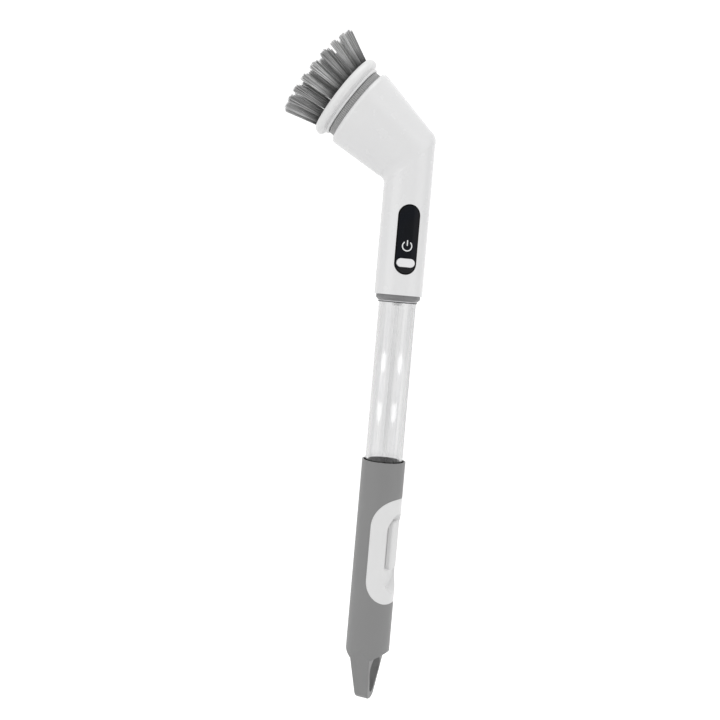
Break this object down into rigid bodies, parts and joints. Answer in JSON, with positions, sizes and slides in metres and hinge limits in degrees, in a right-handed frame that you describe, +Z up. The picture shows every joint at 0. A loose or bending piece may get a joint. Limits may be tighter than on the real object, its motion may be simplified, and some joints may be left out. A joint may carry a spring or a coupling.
{
  "type": "dish wand",
  "caption": "Electric dish wand: spinning round brush on an angled head, clear soap tube with a thumb-slide valve, and a grip with a hanging slot.",
  "frame": {"origin": "middle of the hanging slot, on the handle's axis", "axes": "+Z up the handle's axis from the slot towards the head; the brush turns away towards -X; -Y is the side the control panel faces"},
  "size_m": [0.1151, 0.0745, 0.4977],
  "materials": {
    "housing_white": "smooth gloss moulded shell",
    "cover_gray": "satin",
    "disc_white": "smooth satin gloss",
    "bristle_gray": "drawn nylon filament",
    "panel_black": "polished black window",
    "button_white": "satin",
    "collar_gray": "satin",
    "ring_light": "satin",
    "seal_dark": "matt rubber",
    "clear_tube": "clear moulded plastic",
    "clear_rod": "clear plastic",
    "grip_gray": "fine satin",
    "insert_white": "satin",
    "slider_white": "satin",
    "steel": "ground",
    "gear_acetal": "moulded acetal",
    "case_gray": "moulded",
    "motor_steel": "plated",
    "magnet_dark": "sintered",
    "cap_black": "moulded",
    "screw_steel": "zinc plated",
    "bush_bronze": "sintered bronze",
    "cell_wrap": "shrink sleeve",
    "board_green": "solder mask",
    "lens_white": "diffuse lens",
    "flap_white": "soft rubber",
    "cap_clear": "clear moulded plastic",
    "hose_clear": "silicone",
    "spring_steel": "drawn wire"
  },
  "bodies": {
    "wand": {"reservoir_tube": "clear_tube", "grip": "grip_gray", "thumb_insert": "insert_white", "tube_plug": "collar_gray", "rod_seal": "seal_dark", "plug_seal": "seal_dark", "return_spring": "spring_steel"},
    "head": {"elbow_housing": "housing_white", "drive_cover": "cover_gray", "cover_gasket": "seal_dark", "cover_screws": "screw_steel", "spindle_bush": "bush_bronze", "shaft_seal": "seal_dark", "gear_case": "case_gray", "motor_plate": "steel", "motor_can": "motor_steel", "motor_screws": "screw_steel", "motor_magnets": "magnet_dark", "motor_endcap": "cap_black", "feed_hose": "hose_clear", "battery_cell": "cell_wrap", "cell_cradle": "case_gray", "circuit_board": "board_green", "tactile_switch": "cap_black", "status_lights": "lens_white", "control_panel": "panel_black", "charge_socket": "motor_steel", "flap_anchor": "flap_white", "collar": "collar_gray", "collar_ring": "ring_light", "tube_seal": "seal_dark", "tube_cap": "cap_clear"},
    "spindle": {"spindle": "steel"},
    "planet_1": {"planet_gear_1": "gear_acetal"},
    "planet_2": {"planet_gear_2": "gear_acetal"},
    "planet_3": {"planet_gear_3": "gear_acetal"},
    "rotor": {"rotor": "motor_steel"},
    "brush_head": {"brush_disc": "disc_white", "bristles": "bristle_gray"},
    "power_button": {"power_button": "button_white"},
    "slider": {"slide_button": "slider_white", "slide_carriage": "case_gray", "pull_rod": "clear_rod", "valve_plug": "seal_dark"},
    "charge_flap": {"charge_flap": "flap_white"}
  },
  "joints": [
    {"name": "head_release", "type": "slide", "parent": "wand", "child": "head", "axis": [0, 0, 1], "range_m": [0, 0.03]},
    {"name": "brush_spin", "type": "hinge", "parent": "head", "child": "spindle", "pos_m": [-0.04145, 0, 0.42156], "axis": [-0.829, 0, 0.5592], "continuous": true},
    {"name": "brush_release", "type": "slide", "parent": "spindle", "child": "brush_head", "axis": [-0.829, 0, 0.5592], "range_m": [0, 0.02]},
    {"name": "rotor_spin", "type": "hinge", "parent": "head", "child": "rotor", "pos_m": [-0.01658, 0, 0.40478], "axis": [-0.829, 0, 0.5592], "continuous": true},
    {"name": "planet_1_spin", "type": "hinge", "parent": "spindle", "child": "planet_1", "pos_m": [-0.02945, 0, 0.42504], "axis": [-0.829, 0, 0.5592], "continuous": true},
    {"name": "planet_2_spin", "type": "hinge", "parent": "spindle", "child": "planet_2", "pos_m": [-0.0375, 0.00831, 0.41311], "axis": [-0.829, 0, 0.5592], "continuous": true},
    {"name": "planet_3_spin", "type": "hinge", "parent": "spindle", "child": "planet_3", "pos_m": [-0.0375, -0.00831, 0.41311], "axis": [-0.829, 0, 0.5592], "continuous": true},
    {"name": "power_press", "type": "slide", "parent": "head", "child": "power_button", "axis": [-0.1564, 0.9877, 0], "range_m": [0, 0.0008], "stiffness_N_per_m": 800, "springref_m": -0.0005},
    {"name": "thumb_slide", "type": "slide", "parent": "wand", "child": "slider", "axis": [0, 0, -1], "range_m": [0, 0.012], "stiffness_N_per_m": 150, "springref_m": -0.01, "deforming": ["return_spring"]},
    {"name": "charge_flap_hinge", "type": "hinge", "parent": "head", "child": "charge_flap", "pos_m": [-0.00267, 0.01684, 0.2976], "axis": [-0.9877, -0.1564, 0], "range_deg": [0, 85], "stiffness_Nm_per_rad": 0.0005, "springref_deg": -11.46}
  ],
  "couplings": [
    {"joint": "rotor_spin", "follows": "brush_spin", "ratio": 5.3333},
    {"joint": "planet_1_spin", "follows": "brush_spin", "ratio": -2.6},
    {"joint": "planet_2_spin", "follows": "brush_spin", "ratio": -2.6},
    {"joint": "planet_3_spin", "follows": "brush_spin", "ratio": -2.6}
  ]
}
